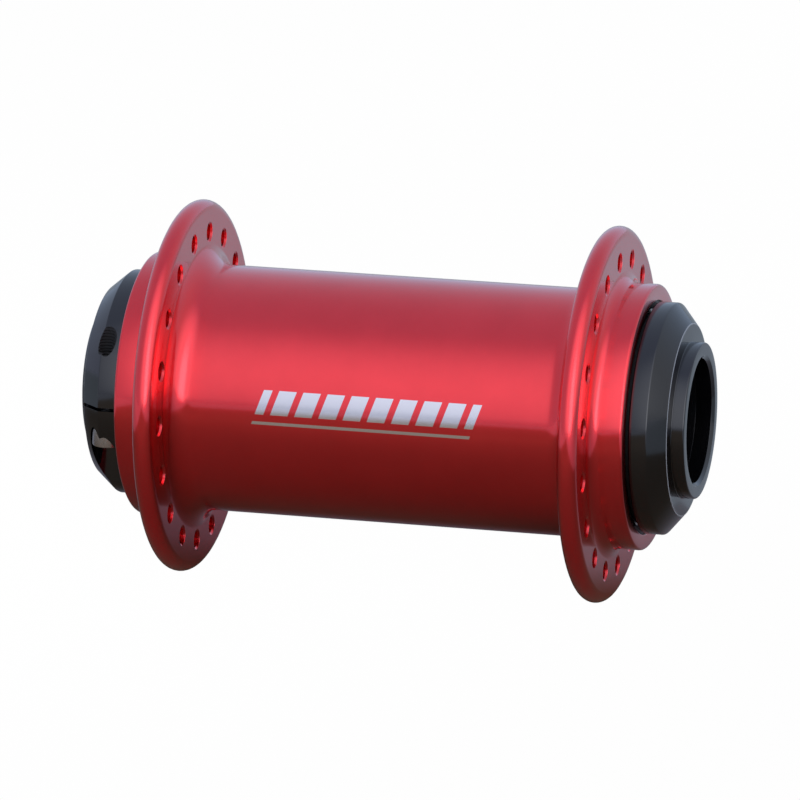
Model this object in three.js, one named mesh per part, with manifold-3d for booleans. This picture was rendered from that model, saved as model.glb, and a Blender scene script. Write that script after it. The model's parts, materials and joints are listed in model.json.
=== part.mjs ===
// Bicycle front hub for a 20 mm through axle.
// Millimetres, +Z up. The hub turns about the Y axis and the origin is at its centre.
// The +Y end carries the fixed end cap and the -Y end carries the bearing preload collar.

import * as THREE from 'three';
import { mergeVertices } from 'three/addons/utils/BufferGeometryUtils.js';
import Module from 'manifold-3d';

const wasm = await Module();
wasm.setup();

// ---- driving dimensions ----

const HUB_SPACING = 100;
const HALF_SPACING = HUB_SPACING / 2;
const THROUGH_BORE_RADIUS = 10;
const AXLE_RADIUS = 12.5;
const AXLE_CHAMFER = 0.35;
const ROUND_SIDES = 40;
const SEAL_SIDES = 32;
const SEAT_GAP = 0.02;
const FACE_GAP = 0.05;
const OVERCUT = 1;

// shell
const BARREL_RADIUS = 20.05;
const SHELL_END = 41.93;
const SHELL_END_RADIUS = 21.46;
const SHELL_END_CHAMFER = 0.35;
const SHELL_BORE_RADIUS = 17.2;
const FLANGE_CENTRE = 34.8;
const FLANGE_THICKNESS = 3.37;
const FLANGE_RADIUS = 30.4;
const FLANGE_ROOT_RADIUS = 23.2;
const INNER_FILLET_LENGTH = 3.7;
const FILLET_SWEEP = (70 * Math.PI) / 180;
const MOUTH_RADIUS = 18.9;

// spokes
const SPOKES_PER_FLANGE = 18;
const SPOKE_PITCH_RADIUS = 25.2;
const SPOKE_HOLE_RADIUS = 1.4;
const SPOKE_SINK_RADIUS = 1.7;
const SPOKE_HOLE_SIDES = 8;

// bearings, 25 x 37 x 7
const BEARING_OUTER_RADIUS = 18.5;
const BEARING_WIDTH = 7;
const BEARING_INNER_FACE = 33.7;
const BEARING_CENTRE = BEARING_INNER_FACE + BEARING_WIDTH / 2;
const BEARING_OUTER_FACE = BEARING_INNER_FACE + BEARING_WIDTH;
const BEARING_CHAMFER = 0.3;
const OUTER_RACE_LAND = 16.75;
const INNER_RACE_LAND = 14.25;
const BALL_COUNT = 14;
const BALL_RADIUS = 1.75;
const BALL_PITCH_RADIUS = 15.5;
const RACE_GROOVE_RADIUS = 1.95;
const CAGE_INNER_RADIUS = 14.95;
const CAGE_OUTER_RADIUS = 16.05;
const CAGE_WIDTH = 4.4;
const CAGE_POCKET_RADIUS = 1.87;
const CAGE_POCKET_SIDES = 8;
const SEAL_THICKNESS = 0.5;
const SEAL_INSET = 0.15;
const SEAL_INNER_RADIUS = 14.4;
const SEAL_OUTER_RADIUS = 16.6;

// retaining rings that hold the bearings in the shell
const RING_GROOVE_RADIUS = 19.55;
const RING_GROOVE_WIDTH = 0.8;
const RING_INNER_RADIUS = 17.8;
const RING_OUTER_RADIUS = 19.45;
const RING_THICKNESS = 0.7;
const RING_GAP_ANGLE = 0.35;
const RIGHT_RING_TURN = 2.2;
const LEFT_RING_TURN = 0.9;

// end cap and collar
const SKIRT_BACK = 42.35;
const SPIGOT_RADIUS = 14.2;
const CAP_RADIUS = 18.7;
const CAP_SHOULDER = 45.2;
const CAP_STEP_RADIUS = 15.5;
const CAP_STEP = 47.88;
const CAP_NOSE_RADIUS = 12.6;
const CAP_SOCKET_DEPTH = 47;
const NOSE_CHAMFER_RADIUS = 10.59;
const NOSE_CHAMFER_DEPTH = 0.45;
const EDGE_BREAK = 0.15;
const COLLAR_RADIUS = 18.3;
const COLLAR_SHOULDER = 45.5;
const COLLAR_END_RADIUS = 15.6;
const COLLAR_END = 48.67;
const COLLAR_BORE_RADIUS = 12.56;
const SLIT_WIDTH = 0.55;

// dust seals behind the cap and the collar
const DUST_SEAL_INNER_RADIUS = 14.25;
const DUST_SEAL_OUTER_RADIUS = 17.5;
const DUST_SEAL_OUTER_FACE = 42.1;
const DUST_SEAL_THICKNESS = 0.5;

// keyed preload washer
const WASHER_THICKNESS = 0.75;
const WASHER_OUTER_RADIUS = 14.4;
const KEYWAY_WIDTH = 3;
const KEYWAY_FLOOR = 11.4;
const KEYWAY_END = 40.4;
const KEY_CLEARANCE = 0.1;
const KEY_OVERLAP = 0.5;

// O-ring between the axle and the cap
const O_RING_PITCH_RADIUS = 12.87;
const O_RING_SECTION_RADIUS = 0.3;
const O_RING_GROOVE_RADIUS = 13.25;
const O_RING_GROOVE_WIDTH = 1.1;
const O_RING_PLACE = 44.5;

// pinch bolt, M3 x 10
const BOLT_X = 14.75;
const BOLT_Y = -44.8;
const BOLT_HEAD_RADIUS = 2.65;
const BOLT_HEAD_HEIGHT = 3;
const BOLT_LENGTH = 10;
const BOLT_SHANK_RADIUS = 1.25;
const BOLT_HOLE_RADIUS = 1.35;
const BOLT_SOCKET_FLATS = 2.5;
const BOLT_SOCKET_DEPTH = 1.6;
const COUNTERBORE_RADIUS = 2.9;
const COUNTERBORE_SEAT = -3.1;
const BOLT_WASHER_RADIUS = 2.6;
const BOLT_WASHER_BORE = 1.5;
const BOLT_WASHER_THICKNESS = 0.5;
const HEAD_SIDES = 24;
const SHANK_SIDES = 16;
const SOCKET_SIDES = 6;
const SHANK_OVERLAP = 0.5;

// ---- materials ----

function finish(color, roughness, metalness) {
  return new THREE.MeshStandardMaterial({ color, roughness, metalness });
}

const RED_ANODISED = finish(0xc4202a, 0.32, 0.9);
const BLACK_ANODISED = finish(0x1a1b20, 0.38, 0.8);
const BEARING_STEEL = finish(0xc9ccd0, 0.18, 1.0);
const BRIGHT_STEEL = finish(0xb9bcc0, 0.28, 1.0);
const SPRING_STEEL = finish(0x3a3c40, 0.35, 0.9);
const BLACK_RUBBER = finish(0x141414, 0.8, 0.0);
const CAGE_NYLON = finish(0xd9cfae, 0.6, 0.0);

// ---- shape helpers ----

function weld(geometry) {
  geometry.deleteAttribute('normal');
  geometry.deleteAttribute('uv');
  return mergeVertices(geometry, 1e-5);
}

function toSolid(geometry) {
  const welded = weld(geometry);
  const vertProperties = new Float32Array(welded.attributes.position.array);
  const triVerts = new Uint32Array(welded.index.array);
  return new wasm.Manifold(new wasm.Mesh({ numProp: 3, vertProperties, triVerts }));
}

function toGeometry(solid) {
  const mesh = solid.getMesh();
  const geometry = new THREE.BufferGeometry();
  geometry.setAttribute('position', new THREE.BufferAttribute(new Float32Array(mesh.vertProperties), 3));
  geometry.setIndex(new THREE.BufferAttribute(new Uint32Array(mesh.triVerts), 1));
  geometry.computeVertexNormals();
  return geometry;
}

// A solid of revolution about Y from a closed outline of [radius, y] points, anticlockwise.
function revolve(outline, sides = ROUND_SIDES) {
  const points = outline.map(([radius, y]) => new THREE.Vector2(radius, y));
  points.push(points[0].clone());
  return weld(new THREE.LatheGeometry(points, sides));
}

// Points on a circular or elliptical arc in the [radius, y] plane, ends included.
function arc(centreRadius, centreY, radial, axial, startAngle, endAngle, steps) {
  const points = [];
  for (let i = 0; i <= steps; i += 1) {
    const angle = startAngle + ((endAngle - startAngle) * i) / steps;
    points.push([centreRadius + radial * Math.cos(angle), centreY + axial * Math.sin(angle)]);
  }
  return points;
}

function block(width, depth, height, x, y, z) {
  return new THREE.BoxGeometry(width, depth, height).translate(x, y, z);
}

// A rod along Z with its lowest and highest ends given.
function uprightRod(radius, low, high, sides, x, y) {
  const rod = new THREE.CylinderGeometry(radius, radius, high - low, sides);
  return rod.rotateX(Math.PI / 2).translate(x, y, (low + high) / 2);
}

// An outline made for the +Y end, moved to the -Y end and still anticlockwise.
function mirrorOutline(outline) {
  return outline.map(([radius, y]) => [radius, -y]).reverse();
}

function outlineForSide(outline, side) {
  return side > 0 ? outline : mirrorOutline(outline);
}

function ringOutline(innerRadius, outerRadius, low, high) {
  return [[innerRadius, low], [outerRadius, low], [outerRadius, high], [innerRadius, high]];
}

function part(name, geometry, material) {
  const mesh = new THREE.Mesh(geometry, material);
  mesh.name = name;
  return mesh;
}

// ---- hub shell ----

// A curve that leaves a cylinder along Y and meets the flange's face at an angle.
function fillet(radius, start, reach, steps) {
  const rise = (FLANGE_ROOT_RADIUS - radius) / (1 - Math.cos(FILLET_SWEEP));
  const run = reach / Math.sin(FILLET_SWEEP);
  return arc(radius + rise, start, -rise, run, 0, FILLET_SWEEP, steps);
}

// The outside of the +Y half, from the barrel to the end of the shell.
function shellOuterHalf() {
  const rim = FLANGE_THICKNESS / 2;
  const rimCentre = FLANGE_RADIUS - rim;
  const flangeInner = FLANGE_CENTRE - rim;
  const flangeOuter = FLANGE_CENTRE + rim;
  const filletStart = flangeInner - INNER_FILLET_LENGTH;
  const outerFillet = FLANGE_ROOT_RADIUS - SHELL_END_RADIUS;
  return [
    ...fillet(BARREL_RADIUS, filletStart, INNER_FILLET_LENGTH, 3),
    ...arc(rimCentre, FLANGE_CENTRE, rim, rim, -Math.PI / 2, Math.PI / 2, 6),
    ...fillet(SHELL_END_RADIUS, flangeOuter + outerFillet, -outerFillet, 2).reverse(),
    [SHELL_END_RADIUS, SHELL_END - SHELL_END_CHAMFER],
    [SHELL_END_RADIUS - SHELL_END_CHAMFER, SHELL_END],
  ];
}

// The inside of the +Y half, from the mouth down to the bore between the bearings.
function shellInnerHalf() {
  const seat = BEARING_OUTER_RADIUS + SEAT_GAP;
  const shoulder = BEARING_INNER_FACE - FACE_GAP;
  const grooveStart = BEARING_OUTER_FACE + FACE_GAP;
  const grooveEnd = grooveStart + RING_GROOVE_WIDTH;
  return [
    [MOUTH_RADIUS + EDGE_BREAK, SHELL_END],
    [MOUTH_RADIUS, SHELL_END - EDGE_BREAK],
    [MOUTH_RADIUS, grooveEnd],
    [RING_GROOVE_RADIUS, grooveEnd],
    [RING_GROOVE_RADIUS, grooveStart],
    [seat, grooveStart],
    [seat, shoulder],
    [SHELL_BORE_RADIUS, shoulder],
  ];
}

// What drills a spoke hole along Y and sinks both its mouths at 45 degrees.
function spokeDrill() {
  const face = FLANGE_THICKNESS / 2;
  const sink = SPOKE_SINK_RADIUS - SPOKE_HOLE_RADIUS;
  return new THREE.LatheGeometry([
    new THREE.Vector2(0, -face - OVERCUT),
    new THREE.Vector2(SPOKE_SINK_RADIUS + OVERCUT, -face - OVERCUT),
    new THREE.Vector2(SPOKE_HOLE_RADIUS, -face + sink),
    new THREE.Vector2(SPOKE_HOLE_RADIUS, face - sink),
    new THREE.Vector2(SPOKE_SINK_RADIUS + OVERCUT, face + OVERCUT),
    new THREE.Vector2(0, face + OVERCUT),
  ], SPOKE_HOLE_SIDES);
}

// Spoke holes of the two flanges are half a step apart round the hub.
function spokeHole(side, index) {
  const step = (2 * Math.PI) / SPOKES_PER_FLANGE;
  const start = side > 0 ? 0 : step / 2;
  const angle = start + index * step;
  const x = SPOKE_PITCH_RADIUS * Math.sin(angle);
  const z = SPOKE_PITCH_RADIUS * Math.cos(angle);
  return toSolid(spokeDrill().rotateY(angle).translate(x, side * FLANGE_CENTRE, z));
}

function hubShell() {
  const outer = shellOuterHalf();
  const inner = shellInnerHalf();
  const blank = [...mirrorOutline(outer), ...outer, ...inner, ...mirrorOutline(inner)];
  let shell = toSolid(revolve(blank));
  for (const side of [-1, 1]) {
    for (let index = 0; index < SPOKES_PER_FLANGE; index += 1) {
      shell = shell.subtract(spokeHole(side, index));
    }
  }
  return part('hub_shell', toGeometry(shell), RED_ANODISED);
}

// ---- bearings ----

function grooveArc(startAngle, endAngle) {
  return arc(
    BALL_PITCH_RADIUS, BEARING_CENTRE, RACE_GROOVE_RADIUS, RACE_GROOVE_RADIUS, startAngle, endAngle, 3,
  );
}

// Half the angle that a race's groove spans, where it meets the land beside it.
function grooveHalfAngle(landRadius) {
  return Math.acos(Math.abs(landRadius - BALL_PITCH_RADIUS) / RACE_GROOVE_RADIUS);
}

function outerRace(name, side) {
  const half = grooveHalfAngle(OUTER_RACE_LAND);
  const outline = [
    [OUTER_RACE_LAND, BEARING_INNER_FACE],
    [BEARING_OUTER_RADIUS - BEARING_CHAMFER, BEARING_INNER_FACE],
    [BEARING_OUTER_RADIUS, BEARING_INNER_FACE + BEARING_CHAMFER],
    [BEARING_OUTER_RADIUS, BEARING_OUTER_FACE - BEARING_CHAMFER],
    [BEARING_OUTER_RADIUS - BEARING_CHAMFER, BEARING_OUTER_FACE],
    [OUTER_RACE_LAND, BEARING_OUTER_FACE],
    ...grooveArc(half, -half),
  ];
  return part(name, revolve(outlineForSide(outline, side)), BEARING_STEEL);
}

function innerRace(name, side) {
  const bore = AXLE_RADIUS + SEAT_GAP;
  const half = grooveHalfAngle(INNER_RACE_LAND);
  const outline = [
    [bore, BEARING_INNER_FACE],
    [INNER_RACE_LAND, BEARING_INNER_FACE],
    ...grooveArc(Math.PI + half, Math.PI - half),
    [INNER_RACE_LAND, BEARING_OUTER_FACE],
    [bore, BEARING_OUTER_FACE],
  ];
  return part(name, revolve(outlineForSide(outline, side)), BEARING_STEEL);
}

function ballAngle(index) {
  return ((index + 0.5) * 2 * Math.PI) / BALL_COUNT;
}

function ball(name, side, index) {
  const angle = ballAngle(index);
  const mesh = part(name, weld(new THREE.IcosahedronGeometry(BALL_RADIUS, 1)), BEARING_STEEL);
  const x = BALL_PITCH_RADIUS * Math.sin(angle);
  const z = BALL_PITCH_RADIUS * Math.cos(angle);
  mesh.position.set(x, side * BEARING_CENTRE, z);
  return mesh;
}

function ballCage(name, side) {
  const sides = BALL_COUNT * 2;
  const half = CAGE_WIDTH / 2;
  const start = BEARING_CENTRE - half;
  const end = BEARING_CENTRE + half;
  const outline = ringOutline(CAGE_INNER_RADIUS, CAGE_OUTER_RADIUS, start, end);
  const low = CAGE_INNER_RADIUS - OVERCUT;
  const high = CAGE_OUTER_RADIUS + OVERCUT;
  let cage = toSolid(revolve(outlineForSide(outline, side), sides));
  for (let index = 0; index < BALL_COUNT; index += 1) {
    const pocket = uprightRod(CAGE_POCKET_RADIUS, low, high, CAGE_POCKET_SIDES, 0, 0);
    pocket.rotateY(ballAngle(index)).translate(0, side * BEARING_CENTRE, 0);
    cage = cage.subtract(toSolid(pocket));
  }
  return part(name, toGeometry(cage), CAGE_NYLON);
}

// A bearing seal lies just inside one face of its bearing, inboard (-1) or outboard (+1).
function bearingSeal(name, side, face) {
  const depth = BEARING_WIDTH / 2 - SEAL_INSET;
  const edges = [BEARING_CENTRE + face * depth, BEARING_CENTRE + face * (depth - SEAL_THICKNESS)];
  const low = Math.min(...edges);
  const high = Math.max(...edges);
  const outline = ringOutline(SEAL_INNER_RADIUS, SEAL_OUTER_RADIUS, low, high);
  return part(name, revolve(outlineForSide(outline, side), SEAL_SIDES), BLACK_RUBBER);
}

function bearing(sideName, side) {
  const group = new THREE.Group();
  group.add(outerRace(`${sideName}_bearing_outer_race`, side));
  group.add(innerRace(`${sideName}_bearing_inner_race`, side));
  group.add(ballCage(`${sideName}_bearing_cage`, side));
  group.add(bearingSeal(`${sideName}_bearing_inboard_seal`, side, -1));
  group.add(bearingSeal(`${sideName}_bearing_outboard_seal`, side, 1));
  for (let index = 0; index < BALL_COUNT; index += 1) {
    const number = String(index + 1).padStart(2, '0');
    group.add(ball(`${sideName}_bearing_ball_${number}`, side, index));
  }
  return group;
}

// A flat spring ring with one gap, sprung into the groove in the shell's mouth.
function retainingRing(name, side) {
  const start = RING_GAP_ANGLE / 2;
  const end = 2 * Math.PI - start;
  const outline = new THREE.Shape();
  outline.absarc(0, 0, RING_OUTER_RADIUS, start, end, false);
  outline.absarc(0, 0, RING_INNER_RADIUS, end, start, true);
  const steps = ROUND_SIDES / 2;
  const settings = { depth: RING_THICKNESS, bevelEnabled: false, curveSegments: steps };
  const ring = new THREE.ExtrudeGeometry(outline, settings);
  ring.translate(0, 0, -RING_THICKNESS / 2).rotateX(Math.PI / 2);
  const centre = BEARING_OUTER_FACE + FACE_GAP + RING_GROOVE_WIDTH / 2;
  const mesh = part(name, weld(ring), SPRING_STEEL);
  mesh.position.set(0, side * centre, 0);
  mesh.rotation.y = side > 0 ? RIGHT_RING_TURN : LEFT_RING_TURN;
  return mesh;
}

// ---- axle and end cap ----

// A tube with a keyway along its threaded -Y end for the preload washer.
function axle() {
  const left = -HALF_SPACING;
  const right = CAP_SOCKET_DEPTH - FACE_GAP;
  const tube = revolve([
    [THROUGH_BORE_RADIUS + AXLE_CHAMFER, left],
    [AXLE_RADIUS - AXLE_CHAMFER, left],
    [AXLE_RADIUS, left + AXLE_CHAMFER],
    [AXLE_RADIUS, right],
    [THROUGH_BORE_RADIUS, right],
    [THROUGH_BORE_RADIUS, left + AXLE_CHAMFER],
  ]);
  const length = HALF_SPACING - KEYWAY_END + OVERCUT;
  const height = AXLE_RADIUS - KEYWAY_FLOOR + OVERCUT;
  const y = -KEYWAY_END - length / 2;
  const z = -KEYWAY_FLOOR - height / 2;
  const keyway = block(KEYWAY_WIDTH, length, height, 0, y, z);
  return part('axle', toGeometry(toSolid(tube).subtract(toSolid(keyway))), BLACK_ANODISED);
}

function rightEndCap() {
  const socket = AXLE_RADIUS + SEAT_GAP;
  const back = BEARING_OUTER_FACE + FACE_GAP;
  const grooveLow = O_RING_PLACE - O_RING_GROOVE_WIDTH / 2;
  const grooveHigh = O_RING_PLACE + O_RING_GROOVE_WIDTH / 2;
  const outline = [
    [socket, back],
    [SPIGOT_RADIUS, back],
    [SPIGOT_RADIUS, SKIRT_BACK],
    [CAP_RADIUS - EDGE_BREAK, SKIRT_BACK],
    [CAP_RADIUS, SKIRT_BACK + EDGE_BREAK],
    [CAP_RADIUS, CAP_SHOULDER],
    [CAP_STEP_RADIUS, CAP_STEP],
    [CAP_NOSE_RADIUS, CAP_STEP],
    [CAP_NOSE_RADIUS, HALF_SPACING - EDGE_BREAK],
    [CAP_NOSE_RADIUS - EDGE_BREAK, HALF_SPACING],
    [NOSE_CHAMFER_RADIUS, HALF_SPACING],
    [THROUGH_BORE_RADIUS, HALF_SPACING - NOSE_CHAMFER_DEPTH],
    [THROUGH_BORE_RADIUS, CAP_SOCKET_DEPTH],
    [socket, CAP_SOCKET_DEPTH],
    [socket, grooveHigh],
    [O_RING_GROOVE_RADIUS, grooveHigh],
    [O_RING_GROOVE_RADIUS, grooveLow],
    [socket, grooveLow],
  ];
  return part('right_end_cap', revolve(outline), BLACK_ANODISED);
}

function endCapORing() {
  const outline = arc(
    O_RING_PITCH_RADIUS, O_RING_PLACE, O_RING_SECTION_RADIUS, O_RING_SECTION_RADIUS, 0, 2 * Math.PI, 6,
  );
  outline.pop();
  return part('right_end_cap_o_ring', revolve(outline), BLACK_RUBBER);
}

function dustSeal(name, side) {
  const low = DUST_SEAL_OUTER_FACE - DUST_SEAL_THICKNESS;
  const outline = ringOutline(DUST_SEAL_INNER_RADIUS, DUST_SEAL_OUTER_RADIUS, low, DUST_SEAL_OUTER_FACE);
  return part(name, revolve(outlineForSide(outline, side)), BLACK_RUBBER);
}

// ---- preload washer, collar and pinch bolt ----

// The washer's tab runs in the keyway, so the washer slides along the axle and cannot turn.
function preloadWasher() {
  const high = -BEARING_OUTER_FACE - FACE_GAP;
  const low = high - WASHER_THICKNESS;
  const ring = toSolid(revolve(ringOutline(COLLAR_BORE_RADIUS, WASHER_OUTER_RADIUS, low, high)));
  const tabFoot = KEYWAY_FLOOR + KEY_CLEARANCE;
  const tabHeight = COLLAR_BORE_RADIUS + KEY_OVERLAP - tabFoot;
  const tabWidth = KEYWAY_WIDTH - 2 * KEY_CLEARANCE;
  const tab = block(tabWidth, WASHER_THICKNESS, tabHeight, 0, (low + high) / 2, -tabFoot - tabHeight / 2);
  return part('preload_washer', toGeometry(ring.add(toSolid(tab))), BRIGHT_STEEL);
}

function collarBlank() {
  const inner = BEARING_OUTER_FACE + FACE_GAP + WASHER_THICKNESS + FACE_GAP;
  const outline = [
    [COLLAR_BORE_RADIUS, inner],
    [SPIGOT_RADIUS, inner],
    [SPIGOT_RADIUS, SKIRT_BACK],
    [COLLAR_RADIUS - EDGE_BREAK, SKIRT_BACK],
    [COLLAR_RADIUS, SKIRT_BACK + EDGE_BREAK],
    [COLLAR_RADIUS, COLLAR_SHOULDER],
    [COLLAR_END_RADIUS, COLLAR_END],
    [COLLAR_BORE_RADIUS + EDGE_BREAK, COLLAR_END],
    [COLLAR_BORE_RADIUS, COLLAR_END - EDGE_BREAK],
  ];
  return toSolid(revolve(mirrorOutline(outline)));
}

// The collar is split at +X, with the bolt's thread above the slit and its head below.
function adjustingCollar() {
  const beyond = COLLAR_RADIUS + OVERCUT;
  const slitLength = beyond - THROUGH_BORE_RADIUS;
  const slitDepth = 2 * (COLLAR_END - SKIRT_BACK + OVERCUT);
  const slitX = THROUGH_BORE_RADIUS + slitLength / 2;
  const cuts = [
    block(slitLength, slitDepth, SLIT_WIDTH, slitX, BOLT_Y, 0),
    uprightRod(BOLT_HOLE_RADIUS, COUNTERBORE_SEAT - OVERCUT, beyond, SHANK_SIDES, BOLT_X, BOLT_Y),
    uprightRod(COUNTERBORE_RADIUS, -beyond, COUNTERBORE_SEAT, HEAD_SIDES, BOLT_X, BOLT_Y),
  ];
  let collar = collarBlank();
  for (const cut of cuts) {
    collar = collar.subtract(toSolid(cut));
  }
  return part('adjusting_collar', toGeometry(collar), BLACK_ANODISED);
}

function pinchBoltWasher() {
  const outline = ringOutline(BOLT_WASHER_BORE, BOLT_WASHER_RADIUS, 0, BOLT_WASHER_THICKNESS);
  const mesh = part('pinch_bolt_washer', revolve(outline, HEAD_SIDES), BRIGHT_STEEL);
  const top = COUNTERBORE_SEAT - FACE_GAP;
  mesh.rotation.x = Math.PI / 2;
  mesh.position.set(BOLT_X, BOLT_Y, top - BOLT_WASHER_THICKNESS);
  return mesh;
}

// A socket head cap screw with its head down.
function pinchBolt() {
  const seat = COUNTERBORE_SEAT - BOLT_WASHER_THICKNESS - 2 * FACE_GAP;
  const headLow = seat - BOLT_HEAD_HEIGHT;
  const tip = seat + BOLT_LENGTH;
  const socketRadius = BOLT_SOCKET_FLATS / 2 / Math.cos(Math.PI / SOCKET_SIDES);
  const socketEnd = headLow + BOLT_SOCKET_DEPTH;
  const head = toSolid(uprightRod(BOLT_HEAD_RADIUS, headLow, seat, HEAD_SIDES, 0, 0));
  const shank = toSolid(uprightRod(BOLT_SHANK_RADIUS, seat - SHANK_OVERLAP, tip, SHANK_SIDES, 0, 0));
  const socket = toSolid(uprightRod(socketRadius, headLow - OVERCUT, socketEnd, SOCKET_SIDES, 0, 0));
  const mesh = part('pinch_bolt', toGeometry(head.add(shank).subtract(socket)), BRIGHT_STEEL);
  mesh.position.set(BOLT_X, BOLT_Y, 0);
  return mesh;
}

// ---- the hub ----

const hub = new THREE.Group();
hub.add(hubShell());
hub.add(axle());
hub.add(bearing('left', -1));
hub.add(bearing('right', 1));
hub.add(retainingRing('left_retaining_ring', -1));
hub.add(retainingRing('right_retaining_ring', 1));
hub.add(rightEndCap());
hub.add(endCapORing());
hub.add(dustSeal('right_dust_seal', 1));
hub.add(dustSeal('left_dust_seal', -1));
hub.add(preloadWasher());
hub.add(adjustingCollar());
hub.add(pinchBoltWasher());
hub.add(pinchBolt());

export default hub;
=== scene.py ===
import json
import math

import bmesh
import bpy
from mathutils import Matrix, Vector


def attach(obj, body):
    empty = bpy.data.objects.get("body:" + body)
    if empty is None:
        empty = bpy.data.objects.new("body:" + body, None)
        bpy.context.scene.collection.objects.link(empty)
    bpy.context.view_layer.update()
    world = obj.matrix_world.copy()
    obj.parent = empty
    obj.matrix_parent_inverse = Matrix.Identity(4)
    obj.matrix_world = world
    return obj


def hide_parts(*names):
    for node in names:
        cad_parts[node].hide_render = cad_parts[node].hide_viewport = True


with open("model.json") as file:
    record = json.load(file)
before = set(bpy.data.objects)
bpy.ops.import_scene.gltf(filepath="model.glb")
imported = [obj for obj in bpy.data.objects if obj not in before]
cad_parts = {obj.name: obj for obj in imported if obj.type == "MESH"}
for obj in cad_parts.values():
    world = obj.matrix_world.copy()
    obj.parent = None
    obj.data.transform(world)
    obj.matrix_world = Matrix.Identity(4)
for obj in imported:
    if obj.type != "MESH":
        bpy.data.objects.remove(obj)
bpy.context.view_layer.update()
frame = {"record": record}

# ---- sizes, in metres ----
# The hub turns about +Y, +Z is up, and the collar's slit faces +X.

MM = 0.001
FINE_STEPS = 360
ROUND_STEPS = 144
SMALL_STEPS = 48
SHARP_ANGLE = math.radians(28)

HALF_SPACING = 50.0 * MM
BORE = 10.0 * MM
AXLE = 12.5 * MM

BARREL = 20.05 * MM
BORE_OF_SHELL = 17.2 * MM
SHELL_END = 41.93 * MM
SHELL_END_RADIUS = 21.46 * MM
MOUTH = 18.9 * MM
FLANGE_CENTRE = 34.8 * MM
FLANGE_HALF = 1.685 * MM
FLANGE_RADIUS = 30.4 * MM
FLANGE_ROOT = 23.2 * MM
FLANGE_FLAT_END = FLANGE_RADIUS - FLANGE_HALF
INNER_FILLET_LENGTH = 3.7 * MM
FILLET_SWEEP = math.radians(70)
SPOKES = 18
SPOKE_CIRCLE = 25.2 * MM
SPOKE_HOLE = 1.4 * MM
SPOKE_HOLE_MOUTH = 1.7 * MM
HOLE_BLOCK = 10
HOLE_BLOCK_REACH = 1.86 * MM

BEARING_IN = 33.7 * MM
BEARING_OUT = 40.7 * MM
BEARING_CENTRE = (BEARING_IN + BEARING_OUT) / 2
BEARING_SEAT = 18.52 * MM
BEARING_RADIUS = 18.5 * MM
OUTER_LAND = 16.75 * MM
INNER_LAND = 14.25 * MM
BALL_CIRCLE = 15.5 * MM
BALL = 1.75 * MM
BALL_TRACK = 1.82 * MM
BALLS = 14

RING_GROOVE = 19.55 * MM
RING_GROOVE_START = 40.75 * MM
RING_GROOVE_END = 41.55 * MM
RING_INNER = 17.8 * MM
RING_OUTER = 19.45 * MM
RING_THICKNESS = 0.7 * MM

SKIRT_BACK = 42.35 * MM
SPIGOT = 14.2 * MM
CAP_RADIUS = 18.7 * MM
CAP_SHOULDER = 45.2 * MM
CAP_STEP_RADIUS = 15.5 * MM
CAP_STEP = 47.88 * MM
CAP_NOSE = 12.6 * MM
CAP_SOCKET = 47.0 * MM
NOSE_CHAMFER = 10.59 * MM
NOSE_CHAMFER_DEPTH = 0.45 * MM
SOCKET = 12.52 * MM
COLLAR_RADIUS = 18.3 * MM
COLLAR_SHOULDER = 45.5 * MM
COLLAR_END_RADIUS = 15.6 * MM
COLLAR_END = 48.67 * MM
COLLAR_BORE = 12.56 * MM
COLLAR_BACK = 41.55 * MM
SLIT = 0.55 * MM

BOLT_X = 14.75 * MM
BOLT_Y = -44.8 * MM
BOLT_HEAD = 2.65 * MM
BOLT_HEAD_HEIGHT = 3.0 * MM
BOLT_LENGTH = 10.0 * MM
BOLT_PITCH = 0.5 * MM
COUNTERBORE = 2.9 * MM
COUNTERBORE_SEAT = -3.1 * MM
GAP = 0.05 * MM
BOLT_WASHER = 0.5 * MM
AXLE_PITCH = 1.0 * MM

CAGE_INNER = 14.95 * MM
CAGE_OUTER = 16.05 * MM
CAGE_WIDTH = 4.4 * MM
CAGE_POCKET = 1.87 * MM
BEARING_WIDTH = BEARING_OUT - BEARING_IN
SEAL_THICKNESS = 0.5 * MM
SEAL_INSET = 0.15 * MM
SEAL_INNER = 14.4 * MM
SEAL_OUTER = 16.6 * MM
RING_GAP = 0.35
RING_GAP_PLACE = {1: 2.2, -1: 0.9}
RING_HOLE = 0.4 * MM
RING_HOLE_ANGLE = 0.06
KEYWAY_WIDTH = 3.0 * MM
KEYWAY_FLOOR = 11.4 * MM
KEYWAY_END = 40.4 * MM
WASHER_OUTER = 14.4 * MM
O_RING_CIRCLE = 12.87 * MM
O_RING_SECTION = 0.3 * MM
O_RING_GROOVE = 13.25 * MM
O_RING_GROOVE_WIDTH = 1.1 * MM
O_RING_PLACE = 44.5 * MM
DUST_SEAL_INNER = 14.25 * MM
DUST_SEAL_OUTER = 17.5 * MM
DUST_SEAL_FACE = 42.1 * MM
DUST_SEAL_THICKNESS = 0.5 * MM
BOLT_CREST = 1.25 * MM
BOLT_THREAD_DEPTH = 0.22 * MM
BOLT_THREAD_HOLE = 1.5 * MM
BOLT_SOCKET_FLATS = 2.5 * MM
BOLT_SOCKET_DEPTH = 1.6 * MM
BOLT_HEAD_EDGE = 0.3 * MM
BOLT_WASHER_BORE = 1.5 * MM
BOLT_WASHER_RADIUS = 2.6 * MM

# How far the painted highlight, a brighter line on the end cap's step edge, reaches.
PAINTED_HIGHLIGHT_REACH = 0.17 * MM

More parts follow.
